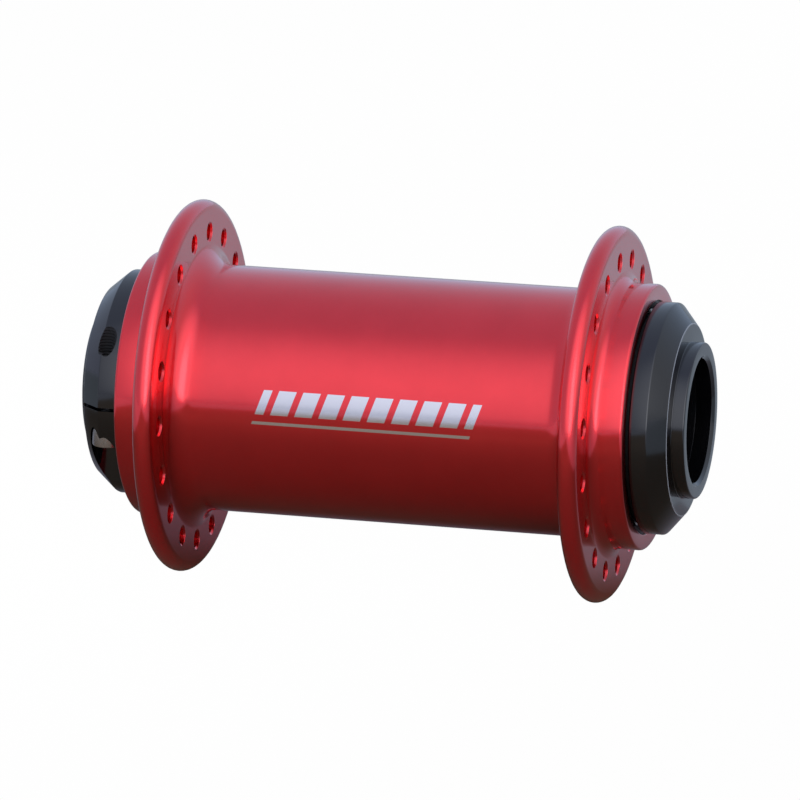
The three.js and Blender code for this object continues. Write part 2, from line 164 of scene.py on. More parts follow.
# The anodised finishes: colours, each between two shades, and roughness, from least to most.
RED_DYE = [(0.85, 0.027, 0.036, 1), (0.91, 0.032, 0.042, 1)]
RED_ROUGH = (0.17, 0.25)
PRINT_COLOUR = (0.74, 0.72, 0.74, 1)
BLACK_DYE = [(0.0012, 0.0012, 0.0015, 1), (0.0024, 0.0024, 0.0028, 1)]
BLACK_ROUGH = (0.10, 0.16)
# The colour of the painted highlight on the end cap's step edge.
PAINTED_EDGE_HIGHLIGHT = (0.22, 0.225, 0.24, 1)
THREAD_ROUGH = 0.9

# The printed row of bars on the barrel.
BAND_HEIGHT = 3.6 * MM
BAND_TALL = 4.0 * MM
BAND_PITCH = 4.0 * MM
BAND_FILL = 0.72
BAND_SLANT = 0.35
BAND_REACH = 18.0 * MM
BAND_LINE = 0.5 * MM
BAND_LINE_DROP = 3.4 * MM

# Where the camera stands and what it points at. The lens is in its sensor's millimetres.
CAMERA_AZIMUTH, CAMERA_ELEVATION = 104.80, 15.40
CAMERA_DISTANCE = 1.1886
CAMERA_TARGET = Vector((0, 0.1 * MM, -0.05 * MM))
CAMERA_LENS = 330.07

# The room's brightness on the -Y side, the +Y side, overhead and behind the hub.
ROOM_LEFT = (0.48, 0.53, 0.72, 1)
ROOM_RIGHT = (0.62, 0.66, 0.76, 1)
ROOM_TOP = (0.47, 0.54, 0.76, 1)
ROOM_BACK = (0.44, 0.56, 0.76, 1)
# A wide soft light in front: its azimuth from +X towards +Y, its height, the angles from its
# centre where it starts and stops fading, in degrees, and its strength.
WIDE_AZIMUTH, WIDE_HEIGHT = 34, 28
WIDE_CORE, WIDE_EDGE = 27, 63
WIDE_STRENGTH = 0.66
WIDE_FOOT, WIDE_RISE = 0.02, 0.08
# A tall bright panel inside it, with the heights where it starts and stops fading upwards.
PANEL_AZIMUTH = 38
PANEL_CORE, PANEL_EDGE = 8, 26
PANEL_HIGH, PANEL_TOP = 26, 68
PANEL_STRENGTH = 1.30
GLOW_COLOUR = (0.97, 0.99, 1.08, 1)
# A card on the floor that only mirrors: its edges, then its colours close to the hub, away
# from it and behind it, and how far each change of colour takes. The darker colour close to
# the hub is a painted shadow of the hub.
CARD_HEIGHT = -30.5 * MM
CARD_BACK = -0.05
CARD_FRONT = 4.0
CARD_LEFT = -0.15
CARD_RIGHT = 0.13
CARD_PAINTED_SHADOW = (0.165, 0.125, 0.082, 1)
CARD_FAR = (0.41, 0.31, 0.21, 1)
CARD_SHADOW_FADE = 0.14
CARD_BEHIND = (0.30, 0.28, 0.27, 1)
CARD_TURN = -0.015
# The floor, white to the camera: its colours in mirrors behind the hub and in front of it.
FLOOR_DROP = 30.6 * MM
FLOOR_REACH = 30.0
FLOOR_BEHIND = (0.47, 0.50, 0.48, 1)
FLOOR_IN_FRONT = (0.80, 0.80, 0.80, 1)
FLOOR_CHANGE = 0.20

RECORD = frame["record"]
BODY_OF = {n: body for body, nodes in RECORD["behaviour"]["bodies"].items() for n in nodes}
SLOT_OF = {row["node"]: row["material_slot"] for row in RECORD["subparts"]}


# ---- camera ----

def view_direction(azimuth, elevation):
    """The way from the object to the camera. Azimuth 0 looks along +Y."""
    a, e = math.radians(azimuth), math.radians(elevation)
    return Vector((math.sin(a) * math.cos(e), -math.cos(a) * math.cos(e), math.sin(e)))


def make_camera():
    data = bpy.data.cameras.new("camera")
    data.sensor_width = 36
    data.lens = CAMERA_LENS
    data.clip_start, data.clip_end = 0.05, 20
    camera = bpy.data.objects.new("camera", data)
    bpy.context.scene.collection.objects.link(camera)
    towards = view_direction(CAMERA_AZIMUTH, CAMERA_ELEVATION)
    camera.location = CAMERA_TARGET + towards * CAMERA_DISTANCE
    camera.rotation_euler = towards.to_track_quat("Z", "Y").to_euler()
    bpy.context.scene.camera = camera


# ---- outlines in the (radius, y) plane ----

def rounded(corners, steps=4):
    """A closed outline from (radius, y, corner radius) corners, each corner turned by an arc."""
    outline = []
    for index, (r, y, bend) in enumerate(corners):
        here = Vector((r, y))
        if not bend:
            outline.append((r, y))
            continue
        before = Vector(corners[index - 1][:2]) - here
        after = Vector(corners[(index + 1) % len(corners)][:2]) - here
        before.normalize()
        after.normalize()
        half = before.angle(after) / 2
        centre = here + (before + after).normalized() * (bend / math.sin(half))
        start = here + before * (bend / math.tan(half)) - centre
        end = here + after * (bend / math.tan(half)) - centre
        turn = start.angle_signed(end)
        for step in range(steps + 1):
            a = -turn * step / steps
            point = centre + Vector((
                start.x * math.cos(a) - start.y * math.sin(a),
                start.x * math.sin(a) + start.y * math.cos(a),
            ))
            outline.append((point.x, point.y))
    return outline


def arc(centre_r, centre_y, radial, axial, start, end, steps):
    angles = [start + (end - start) * i / steps for i in range(steps + 1)]
    return [(centre_r + radial * math.cos(a), centre_y + axial * math.sin(a)) for a in angles]


def fillet(low, high, start, reach, steps):
    """A curve that leaves radius low along Y and meets the flange's face at radius high, at an angle."""
    rise = (high - low) / (1 - math.cos(FILLET_SWEEP))
    run = reach / math.sin(FILLET_SWEEP)
    return arc(low + rise, start, -rise, run, 0, FILLET_SWEEP, steps)


def flipped(outline):
    return [(r, -y) for r, y in reversed(outline)]


def for_side(outline, side):
    return outline if side > 0 else flipped(outline)


def band(inner, outer, low, high, edge):
    """A ring's outline with its four corners rounded."""
    return rounded([(inner, low, edge), (outer, low, edge), (outer, high, edge), (inner, high, edge)], 3)


# ---- mesh helpers ----

def finish_mesh(bm, name):
    """Welds, turns the faces out, smooths, and marks the edges that stay crisp."""
    bmesh.ops.remove_doubles(bm, verts=bm.verts, dist=1e-7)
    bmesh.ops.recalc_face_normals(bm, faces=bm.faces)
    for face in bm.faces:
        face.smooth = True
    for edge in bm.edges:
        edge.smooth = len(edge.link_faces) != 2 or edge.calc_face_angle(0) < SHARP_ANGLE
    mesh = bpy.data.meshes.new(name)
    bm.to_mesh(mesh)
    bm.free()
    piece = bpy.data.objects.new(name, mesh)
    bpy.context.scene.collection.objects.link(piece)
    return piece


def ring_points(bm, r, y, steps):
    turn = 2 * math.pi / steps
    return [bm.verts.new((r * math.sin(i * turn), y, r * math.cos(i * turn))) for i in range(steps)]


def join_rings(bm, first, second):
    count = len(first)
    for i in range(count):
        j = (i + 1) % count
        bm.faces.new((first[i], first[j], second[j], second[i]))


def add_path(bm, path, steps, closed=False):
    """A surface of revolution about Y from a path of (radius, y) points."""
    rings = [ring_points(bm, r, y, steps) for r, y in path]
    for first, second in zip(rings, rings[1:]):
        join_rings(bm, first, second)
    if closed:
        join_rings(bm, rings[-1], rings[0])
    return rings


def revolve(name, outline, steps=ROUND_STEPS):
    bm = bmesh.new()
    add_path(bm, outline, steps, closed=True)
    return finish_mesh(bm, name)


def carve(piece, cutters, operation="DIFFERENCE"):
    """Cuts the pieces in cutters out of a piece, and applies the result."""
    for cutter in cutters:
        modifier = piece.modifiers.new("cut", "BOOLEAN")
        modifier.operation = operation
        modifier.solver = "EXACT"
        modifier.object = cutter
    bpy.context.view_layer.update()
    evaluated = piece.evaluated_get(bpy.context.evaluated_depsgraph_get())
    bm = bmesh.new()
    bm.from_mesh(evaluated.to_mesh())
    evaluated.to_mesh_clear()
    name = piece.name
    for used in [piece, *cutters]:
        bpy.data.meshes.remove(used.data)
    return finish_mesh(bm, name)


def box_piece(name, low, high):
    bm = bmesh.new()
    bmesh.ops.create_cube(bm, size=1)
    size = Vector(high) - Vector(low)
    centre = (Vector(high) + Vector(low)) / 2
    bmesh.ops.scale(bm, vec=size, verts=bm.verts)
    bmesh.ops.translate(bm, vec=centre, verts=bm.verts)
    return finish_mesh(bm, name)


def solid_path(name, path, steps):
    """A solid of revolution about Y whose path starts and ends on the axis."""
    bm = bmesh.new()
    rings = add_path(bm, path, steps)
    bm.faces.new(rings[0])
    bm.faces.new(rings[-1])
    return finish_mesh(bm, name)


def stand_upright(piece, x, y):
    """Turns a piece made along +Y to lie along +Z, and moves it to x, y."""
    turn = Matrix.Rotation(math.pi / 2, 4, "X")
    piece.data.transform(Matrix.Translation((x, y, 0)) @ turn)
    return piece


def thread_depth(angle, y, pitch, depth, low, high):
    """How far a thread's surface lies below its crest, fading out at both ends."""
    phase = (y / pitch - angle / (2 * math.pi)) % 1.0
    groove = max(0.0, 1.0 - abs(phase - 0.5) / 0.42)
    run_out = min(1.0, max(0.0, (y - low) / pitch), max(0.0, (high - y) / pitch))
    return depth * groove * run_out


def threaded_path(bm, crest, pitch, depth, low, high, steps):
    """A helical thread about Y between two heights, as rings of points."""
    count = max(2, round((high - low) / pitch * 10))
    rings = []
    for k in range(count + 1):
        y = low + (high - low) * k / count
        ring = []
        for i in range(steps):
            angle = 2 * math.pi * i / steps
            r = crest - thread_depth(angle, y, pitch, depth, low, high)
            ring.append(bm.verts.new((r * math.sin(angle), y, r * math.cos(angle))))
        rings.append(ring)
    for first, second in zip(rings, rings[1:]):
        join_rings(bm, first, second)
    return rings


def stand_for(piece, node, material):
    """The piece takes the place, the body and the slot of a CAD node."""
    piece.data.materials.clear()
    piece.data.materials.append(material)
    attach(piece, BODY_OF[node])
    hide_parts(node)


# ---- hub shell ----

def flange_radii():
    """Radii of the rings across a flange's flat face, with the hole blocks in the middle."""
    low, high = SPOKE_CIRCLE - HOLE_BLOCK_REACH, SPOKE_CIRCLE + HOLE_BLOCK_REACH
    block = [low + (high - low) * i / HOLE_BLOCK for i in range(HOLE_BLOCK + 1)]
    edge = 0.06 * MM
    before = [FLANGE_ROOT, FLANGE_ROOT + edge]
    after = [(high + FLANGE_FLAT_END) / 2, FLANGE_FLAT_END - edge, FLANGE_FLAT_END]
    return before + block + after, len(before)


def hole_ring(bm, angle, radius, y):
    """Points round a spoke hole, starting at the block's lowest radius and angle corner."""
    outward = Vector((math.sin(angle), 0, math.cos(angle)))
    along = Vector((math.cos(angle), 0, -math.sin(angle)))
    centre = outward * SPOKE_CIRCLE + Vector((0, y, 0))
    count = 4 * HOLE_BLOCK
    points = []
    for i in range(count):
        a = 2 * math.pi * i / count + math.pi / 4
        points.append(bm.verts.new(centre - outward * radius * math.cos(a) - along * radius * math.sin(a)))
    return points


def block_border(rings, start, first_ring):
    """The points round a hole block, in the same order as hole_ring's."""
    n = HOLE_BLOCK
    low, high = first_ring, first_ring + n
    steps = len(rings[0])
    side_a = [rings[low + i][start % steps] for i in range(n)]
    side_b = [rings[high][(start + i) % steps] for i in range(n)]
    side_c = [rings[high - i][(start + n) % steps] for i in range(n)]
    side_d = [rings[low][(start + n - i) % steps] for i in range(n)]
    return side_a + side_b + side_c + side_d


def add_flange_face(bm, y, first_angle):
    """One flat face of a flange, and the rings of points round its holes."""
    radii, first_ring = flange_radii()
    rings = [ring_points(bm, r, y, FINE_STEPS) for r in radii]
    per_hole = FINE_STEPS // SPOKES
    starts = [first_angle + per_hole * k - HOLE_BLOCK // 2 for k in range(SPOKES)]
    blocked = {(s + i) % FINE_STEPS for s in starts for i in range(HOLE_BLOCK)}
    for k in range(len(radii) - 1):
        in_block = first_ring <= k < first_ring + HOLE_BLOCK
        for i in range(FINE_STEPS):
            if in_block and i in blocked:
                continue
            j = (i + 1) % FINE_STEPS
            bm.faces.new((rings[k][i], rings[k][j], rings[k + 1][j], rings[k + 1][i]))
    for ring in rings[first_ring + 1:first_ring + HOLE_BLOCK]:
        for start in starts:
            for i in range(1, HOLE_BLOCK):
                bm.verts.remove(ring[(start + i) % FINE_STEPS])
    mouths = []
    for k, start in enumerate(starts):
        angle = 2 * math.pi * (first_angle + per_hole * k) / FINE_STEPS
        mouth = hole_ring(bm, angle, SPOKE_HOLE_MOUTH, y)
        join_rings(bm, block_border(rings, start, first_ring), mouth)
        mouths.append((angle, mouth))
    return mouths


def add_flange(bm, side):
    """Both flat faces of a flange and the walls of its spoke holes."""
    centre = side * FLANGE_CENTRE
    first_angle = 0 if side > 0 else FINE_STEPS // SPOKES // 2
    low, high = centre - FLANGE_HALF, centre + FLANGE_HALF
    sink = SPOKE_HOLE_MOUTH - SPOKE_HOLE
    lip = 0.03 * MM
    low_mouths = add_flange_face(bm, low, first_angle)
    high_mouths = add_flange_face(bm, high, first_angle)
    for (angle, low_mouth), (_, high_mouth) in zip(low_mouths, high_mouths):
        walls = [
            low_mouth,
            hole_ring(bm, angle, SPOKE_HOLE_MOUTH - lip * 0.3, low + lip),
            hole_ring(bm, angle, SPOKE_HOLE, low + sink),
            hole_ring(bm, angle, SPOKE_HOLE, high - sink),
            hole_ring(bm, angle, SPOKE_HOLE_MOUTH - lip * 0.3, high - lip),
            high_mouth,
        ]
        for first, second in zip(walls, walls[1:]):
            join_rings(bm, first, second)


def shell_end_path():
    """From the right flange's outer face over the shell's end and down its bore to the middle."""
    outer_fillet = FLANGE_ROOT - SHELL_END_RADIUS
    flange_face = FLANGE_CENTRE + FLANGE_HALF
    start = flange_face + outer_fillet
    curve = fillet(SHELL_END_RADIUS, FLANGE_ROOT, start, -outer_fillet, 12)
    edge, lip, corner = 0.5 * MM, 0.12 * MM, 0.08 * MM
    end = rounded([
        (SHELL_END_RADIUS, start + 0.5 * MM, 0),
        (SHELL_END_RADIUS, SHELL_END, edge),
        (MOUTH, SHELL_END, lip),
        (MOUTH, RING_GROOVE_END, corner),
        (RING_GROOVE, RING_GROOVE_END, corner),
        (RING_GROOVE, RING_GROOVE_START, corner),
        (BEARING_SEAT, RING_GROOVE_START, corner),
        (BEARING_SEAT, BEARING_IN - GAP, corner),
        (BORE_OF_SHELL, BEARING_IN - GAP, corner * 2),
        (BORE_OF_SHELL, 0, 0),
    ], 4)
    return curve[::-1] + end


def rim_path(side):
    centre = side * FLANGE_CENTRE
    return arc(FLANGE_FLAT_END, centre, FLANGE_HALF, FLANGE_HALF, -math.pi / 2, math.pi / 2, 16)


def barrel_path():
    start = FLANGE_CENTRE - FLANGE_HALF - INNER_FILLET_LENGTH
    curve = fillet(BARREL, FLANGE_ROOT, start, INNER_FILLET_LENGTH, 14)
    left = [(r, -y) for r, y in reversed(curve)]
    middle = [(BARREL, start * t) for t in (-0.98, -0.5, 0, 0.5, 0.98)]
    return left + middle + curve


def make_shell():
    bm = bmesh.new()
    end = shell_end_path()
    add_path(bm, end, FINE_STEPS)
    add_path(bm, [(r, -y) for r, y in end], FINE_STEPS)
    add_path(bm, barrel_path(), FINE_STEPS)
    for side in (-1, 1):
        add_path(bm, rim_path(side), FINE_STEPS)
        add_flange(bm, side)
    return finish_mesh(bm, "hub_shell_fine")


# ---- axle ----

def make_axle():
    edge = 0.35 * MM
    thread_end = KEYWAY_END - 0.6 * MM
    left, right = -HALF_SPACING, CAP_SOCKET - GAP
    bm = bmesh.new()
    inside = rounded([
        (AXLE, -thread_end + 0.5 * MM, 0),
        (AXLE, right, 0.1 * MM),
        (BORE, right, 0.02 * MM),
        (BORE, left + edge, 0.05 * MM),
        (BORE + edge, left, 0.05 * MM),
        (AXLE - edge, left, 0.05 * MM),
        (AXLE, left + edge, 0),
    ], 4)
    add_path(bm, [(AXLE, -thread_end)] + inside, ROUND_STEPS)
    threaded_path(bm, AXLE, AXLE_PITCH, 0.45 * MM, left + edge, -thread_end, ROUND_STEPS)
    tube = finish_mesh(bm, "axle_fine")
    half = KEYWAY_WIDTH / 2
    slot = box_piece(
        "keyway", (-half, left - MM, -AXLE - MM), (half, -KEYWAY_END, -KEYWAY_FLOOR),
    )
    return carve(tube, [slot])


# ---- right end cap ----

def make_end_cap():
    back = BEARING_OUT + GAP
    groove_low = O_RING_PLACE - O_RING_GROOVE_WIDTH / 2
    groove_high = O_RING_PLACE + O_RING_GROOVE_WIDTH / 2
    small = 0.06 * MM
    outline = rounded([
        (SOCKET, back, small),
        (SPIGOT, back, small),
        (SPIGOT, SKIRT_BACK, small),
        (CAP_RADIUS, SKIRT_BACK, 0.2 * MM),
        (CAP_RADIUS, CAP_SHOULDER, 0.35 * MM),
        (CAP_STEP_RADIUS, CAP_STEP, 0.25 * MM),
        (CAP_NOSE, CAP_STEP, 0.12 * MM),
        (CAP_NOSE, HALF_SPACING, 0.28 * MM),
        (NOSE_CHAMFER, HALF_SPACING, 0.15 * MM),
        (BORE, HALF_SPACING - NOSE_CHAMFER_DEPTH, small),
        (BORE, CAP_SOCKET, 0.02 * MM),
        (SOCKET, CAP_SOCKET, small),
        (SOCKET, groove_high, small),
        (O_RING_GROOVE, groove_high, small),
        (O_RING_GROOVE, groove_low, small),
        (SOCKET, groove_low, small),
    ], 5)
    return revolve("right_end_cap_fine", outline, FINE_STEPS)


def make_o_ring():
    outline = arc(O_RING_CIRCLE, O_RING_PLACE, O_RING_SECTION, O_RING_SECTION, 0, 2 * math.pi, 16)
    return revolve("right_end_cap_o_ring_fine", outline[:-1])


def make_dust_seal(name, side):
    """A flat rubber ring with a fine lip standing at its outer edge."""
    low, high = DUST_SEAL_FACE - DUST_SEAL_THICKNESS, DUST_SEAL_FACE
    recess = high - 0.12 * MM
    edge = 0.05 * MM
    outline = rounded([
        (DUST_SEAL_INNER, low, edge),
        (DUST_SEAL_OUTER, low, edge),
        (DUST_SEAL_OUTER, high, edge * 2),
        (DUST_SEAL_OUTER - 0.45 * MM, high, edge * 2),
        (DUST_SEAL_OUTER - 0.6 * MM, recess, edge),
        (DUST_SEAL_INNER + 0.5 * MM, recess, edge),
        (DUST_SEAL_INNER + 0.35 * MM, high, edge),
        (DUST_SEAL_INNER, high, edge),
    ], 3)
    return revolve(name, for_side(outline, side))


# ---- bearings ----

def track(start, end):
    return arc(BALL_CIRCLE, BEARING_CENTRE, BALL_TRACK, BALL_TRACK, start, end, 14)


def make_outer_race(name, side):
    half = math.acos((OUTER_LAND - BALL_CIRCLE) / BALL_TRACK)
    body = rounded([
        (OUTER_LAND, BEARING_IN, 0.12 * MM),
        (BEARING_RADIUS, BEARING_IN, 0.3 * MM),
        (BEARING_RADIUS, BEARING_OUT, 0.3 * MM),
        (OUTER_LAND, BEARING_OUT, 0.12 * MM),
    ], 5)
    return revolve(name, for_side(body + track(half, -half), side))


def make_inner_race(name, side):
    half = math.acos((BALL_CIRCLE - INNER_LAND) / BALL_TRACK)
    bore = AXLE + 0.02 * MM
    corners = [
        (bore, BEARING_OUT, 0.15 * MM),
        (bore, BEARING_IN, 0.15 * MM),
        (INNER_LAND, BEARING_IN, 0.12 * MM),
    ]
    body = rounded(corners + [(INNER_LAND, BEARING_OUT, 0.12 * MM)], 5)
    ends, last = body[:-6], body[-6:]
    groove = track(math.pi + half, math.pi - half)
    return revolve(name, for_side(ends + groove + last, side))


def ball_angle(index):
    return (index + 0.5) * 2 * math.pi / BALLS


def make_balls(side_name, side):
    """The balls share one round mesh, and each stands at its own place on the ball circle."""
    path = arc(0, 0, BALL, BALL, -math.pi / 2 * 0.985, math.pi / 2 * 0.985, 22)
    first = solid_path(f"{side_name}_bearing_ball_01_fine", path, 32)
    balls = []
    for index in range(BALLS):
        angle = ball_angle(index)
        ball = first if index == 0 else first.copy()
        ball.name = f"{side_name}_bearing_ball_{index + 1:02d}_fine"
        if index:
            bpy.context.scene.collection.objects.link(ball)
        place = (BALL_CIRCLE * math.sin(angle), side * BEARING_CENTRE, BALL_CIRCLE * math.cos(angle))
        ball.location = place
        balls.append(ball)
    return balls


def make_cage(name, side):
    half = CAGE_WIDTH / 2
    low, high = BEARING_CENTRE - half, BEARING_CENTRE + half
    ring = revolve(name, for_side(band(CAGE_INNER, CAGE_OUTER, low, high, 0.12 * MM), side))
    pockets = []
    for index in range(BALLS):
        pocket = rod("pocket", CAGE_POCKET, CAGE_INNER - MM, CAGE_OUTER + MM, SMALL_STEPS)
        pocket.data.transform(Matrix.Rotation(ball_angle(index), 4, "Y"))
        pocket.data.transform(Matrix.Translation((0, side * BEARING_CENTRE, 0)))
        pockets.append(pocket)
    return carve(ring, pockets)


def make_bearing_seal(name, side, face):
    """A seal with a rolled outer edge, a sunk middle and a lip on the inner race."""
    depth = BEARING_WIDTH / 2 - SEAL_INSET
    outside = BEARING_CENTRE + face * depth
    inside = BEARING_CENTRE + face * (depth - SEAL_THICKNESS)
    sunk = outside - face * 0.16 * MM
    edge = 0.06 * MM
    corners = [
        (SEAL_INNER, inside, edge),
        (SEAL_OUTER, inside, edge),
        (SEAL_OUTER, outside, edge * 2),
        (SEAL_OUTER - 0.4 * MM, outside, edge * 2),
        (SEAL_OUTER - 0.55 * MM, sunk, edge),
        (SEAL_INNER + 0.55 * MM, sunk, edge),
        (SEAL_INNER + 0.4 * MM, outside, edge),
        (SEAL_INNER, outside, edge),
    ]
    return revolve(name, for_side(rounded(corners, 3), side))


# ---- retaining rings ----

def make_retaining_ring(name, side):
    """A flat spring ring with a gap, and a small plier hole beside each end."""
    centre = side * (RING_GROOVE_START + RING_GROOVE_END) / 2
    half = RING_THICKNESS / 2
    section = band(RING_INNER, RING_OUTER, centre - half, centre + half, 0.08 * MM)
    gap_middle = math.pi / 2 + RING_GAP_PLACE[side]
    start, sweep = gap_middle + RING_GAP / 2, 2 * math.pi - RING_GAP
    bm = bmesh.new()
    slices = []
    for step in range(ROUND_STEPS + 1):
        a = start + sweep * step / ROUND_STEPS
        slices.append([bm.verts.new((r * math.sin(a), y, r * math.cos(a))) for r, y in section])
    for first, second in zip(slices, slices[1:]):
        join_rings(bm, first, second)
    bm.faces.new(slices[0])
    bm.faces.new(slices[-1])
    ring = finish_mesh(bm, name)
    drills = []
    middle = (RING_INNER + RING_OUTER) / 2
    for towards in (-1, 1):
        a = gap_middle + towards * (RING_GAP / 2 + RING_HOLE_ANGLE)
        path = [(RING_HOLE, centre - MM), (RING_HOLE, centre + MM)]
        drill = solid_path("drill", path, 24)
        drill.data.transform(Matrix.Translation((middle * math.sin(a), 0, middle * math.cos(a))))
        drills.append(drill)
    return carve(ring, drills)


# ---- preload washer, collar and pinch bolt ----

def make_preload_washer():
    low, high = -COLLAR_BACK + GAP, -BEARING_OUT - GAP
    ring = revolve("preload_washer_fine", band(COLLAR_BORE, WASHER_OUTER, low, high, 0.08 * MM))
    half = KEYWAY_WIDTH / 2 - 0.1 * MM
    foot = KEYWAY_FLOOR + 0.1 * MM
    tab = box_piece("tab", (-half, low, -COLLAR_BORE - 0.5 * MM), (half, high, -foot))
    return carve(ring, [tab], "UNION")


def rod(name, radius, low, high, steps, x=0, y=0):
    """A plain rod along Z."""
    return stand_upright(solid_path(name, [(radius, low), (radius, high)], steps), x, y)


def make_tap(name):
    """What a tap cuts: the pinch bolt's thread, a little larger than the bolt's own."""
    bm = bmesh.new()
    low, high = SLIT / 2 + 0.1 * MM, COLLAR_RADIUS
    rings = threaded_path(bm, BOLT_THREAD_HOLE, BOLT_PITCH, BOLT_THREAD_DEPTH, low, high, SMALL_STEPS)
    below = ring_points(bm, BOLT_THREAD_HOLE, COUNTERBORE_SEAT - MM, SMALL_STEPS)
    join_rings(bm, below, rings[0])
    bm.faces.new(below)
    bm.faces.new(rings[-1])
    return stand_upright(finish_mesh(bm, name), BOLT_X, BOLT_Y)


def make_collar():
    outline = rounded([
        (COLLAR_BORE, COLLAR_BACK, 0.06 * MM),
        (SPIGOT, COLLAR_BACK, 0.06 * MM),
        (SPIGOT, SKIRT_BACK, 0.06 * MM),
        (COLLAR_RADIUS, SKIRT_BACK, 0.2 * MM),
        (COLLAR_RADIUS, COLLAR_SHOULDER, 0.25 * MM),
        (COLLAR_END_RADIUS, COLLAR_END, 0.3 * MM),
        (COLLAR_BORE, COLLAR_END, 0.2 * MM),
    ], 5)
    blank = revolve("adjusting_collar_fine", flipped(outline), FINE_STEPS)
    beyond = COLLAR_RADIUS + MM
    slit = box_piece("slit", (BORE, -COLLAR_END - MM, -SLIT / 2), (beyond, -COLLAR_BACK + MM, SLIT / 2))
    counterbore = rod("counterbore", COUNTERBORE, -beyond, COUNTERBORE_SEAT, SMALL_STEPS, BOLT_X, BOLT_Y)
    return carve(blank, [slit, counterbore, make_tap("tap")])


def make_bolt_washer():
    top = COUNTERBORE_SEAT - GAP
    outline = band(BOLT_WASHER_BORE, BOLT_WASHER_RADIUS, top - BOLT_WASHER, top, 0.05 * MM)
    return stand_upright(revolve("pinch_bolt_washer_fine", outline, SMALL_STEPS), BOLT_X, BOLT_Y)


def make_bolt():
    """A socket head cap screw, head down, with a plain head and a cut thread."""
    seat = COUNTERBORE_SEAT - BOLT_WASHER - 2 * GAP
    foot = seat - BOLT_HEAD_HEIGHT
    tip = seat + BOLT_LENGTH
    steps = SMALL_STEPS
    edge = BOLT_HEAD_EDGE
    root = BOLT_CREST - BOLT_THREAD_DEPTH
    bm = bmesh.new()
    rings = [
        ring_points(bm, BOLT_HEAD - edge, foot, steps),
        ring_points(bm, BOLT_HEAD - 0.3 * edge, foot + 0.3 * edge, steps),
        ring_points(bm, BOLT_HEAD, foot + edge, steps),
        ring_points(bm, BOLT_HEAD, seat - 0.05 * MM, steps),
        ring_points(bm, BOLT_HEAD - 0.05 * MM, seat, steps),
        ring_points(bm, BOLT_CREST + 0.15 * MM, seat, steps),
        ring_points(bm, BOLT_CREST, seat + 0.15 * MM, steps),
    ]
    thread_low, thread_high = seat + 0.9 * MM, tip - 0.3 * MM
    thread = threaded_path(bm, BOLT_CREST, BOLT_PITCH, BOLT_THREAD_DEPTH, thread_low, thread_high, steps)
    last = [ring_points(bm, root, tip, steps)]
    for first, second in zip(rings, rings[1:]):
        join_rings(bm, first, second)
    join_rings(bm, rings[-1], thread[0])
    join_rings(bm, thread[-1], last[0])
    bm.faces.new(rings[0])
    bm.faces.new(last[0])
    screw = stand_upright(finish_mesh(bm, "pinch_bolt_fine"), BOLT_X, BOLT_Y)
    socket_radius = BOLT_SOCKET_FLATS / 2 / math.cos(math.pi / 6)
    deep = foot + BOLT_SOCKET_DEPTH
    path = [(socket_radius + 0.25 * MM, foot - 0.15 * MM), (socket_radius - 0.05 * MM, foot + 0.15 * MM)]
    mouth = stand_upright(solid_path("mouth", path, SMALL_STEPS), BOLT_X, BOLT_Y)
    path = [(socket_radius, foot - MM), (socket_radius, deep), (0.05 * MM, deep + 0.5 * MM)]
    socket = stand_upright(solid_path("socket", path, 6), BOLT_X, BOLT_Y)
    return carve(screw, [mouth, socket])


# ---- materials ----

class Nodes:
    """Adds nodes to a material or world, one short call each."""

    def __init__(self, tree):
        self.tree = tree
        tree.nodes.clear()

    def add(self, kind, settings=None, **inputs):
        made = self.tree.nodes.new(kind)
        for key, value in (settings or {}).items():
            setattr(made, key, value)
        for key, value in inputs.items():
            self.feed(made.inputs[key.replace("_", " ")], value)
        return made

    def feed(self, socket, value):
        if isinstance(value, bpy.types.NodeSocket):
            self.tree.links.new(value, socket)
        else:
            socket.default_value = value

    def math(self, operation, first, second=0.0, clamp=False):
        made = self.tree.nodes.new("ShaderNodeMath")
        made.operation, made.use_clamp = operation, clamp
        self.feed(made.inputs[0], first)
        self.feed(made.inputs[1], second)
        return made.outputs[0]

    def ramp(self, value, low, high, to_low=0.0, to_high=1.0, smooth=False):
        made = self.tree.nodes.new("ShaderNodeMapRange")
        made.interpolation_type = "SMOOTHSTEP" if smooth else "LINEAR"
        for socket, given in zip(made.inputs[:5], (value, low, high, to_low, to_high)):
            self.feed(socket, given)
        return made.outputs[0]

    def mix(self, factor, first, second):
        made = self.tree.nodes.new("ShaderNodeMix")
        made.data_type = "RGBA"
        self.feed(made.inputs["Factor"], factor)
        colours = [s for s in made.inputs if s.type == "RGBA"]
        self.feed(colours[0], first)
        self.feed(colours[1], second)
        return next(s for s in made.outputs if s.type == "RGBA")

    def blend(self, factor, first, second):
        made = self.tree.nodes.new("ShaderNodeMixShader")
        for socket, given in zip(made.inputs, (factor, first, second)):
            self.feed(socket, given)
        return made.outputs[0]

    def noise(self, vector, scale, detail=3.0, roughness=0.6):
        made = self.tree.nodes.new("ShaderNodeTexNoise")
        self.feed(made.inputs["Vector"], vector)
        made.inputs["Scale"].default_value = scale
        made.inputs["Detail"].default_value = detail
        made.inputs["Roughness"].default_value = roughness
        return made.outputs["Fac"]


def new_material(name):
    material = bpy.data.materials.new(name)
    material.use_nodes = True
    return material, Nodes(material.node_tree)


def hypotenuse(nodes, first, second):
    """How far two offsets at right angles reach together."""
    across = nodes.math("MULTIPLY", first, first)
    up = nodes.math("MULTIPLY", second, second)
    return nodes.math("SQRT", nodes.math("ADD", across, up))


def place_axes(nodes):
    """Where a point is on the object: its coordinates, and its distance from the hub's axis."""
    place = nodes.add("ShaderNodeTexCoord").outputs["Object"]
    split = nodes.add("ShaderNodeSeparateXYZ", Vector=place)
    x, y, z = split.outputs
    return place, x, y, z, hypotenuse(nodes, x, z)


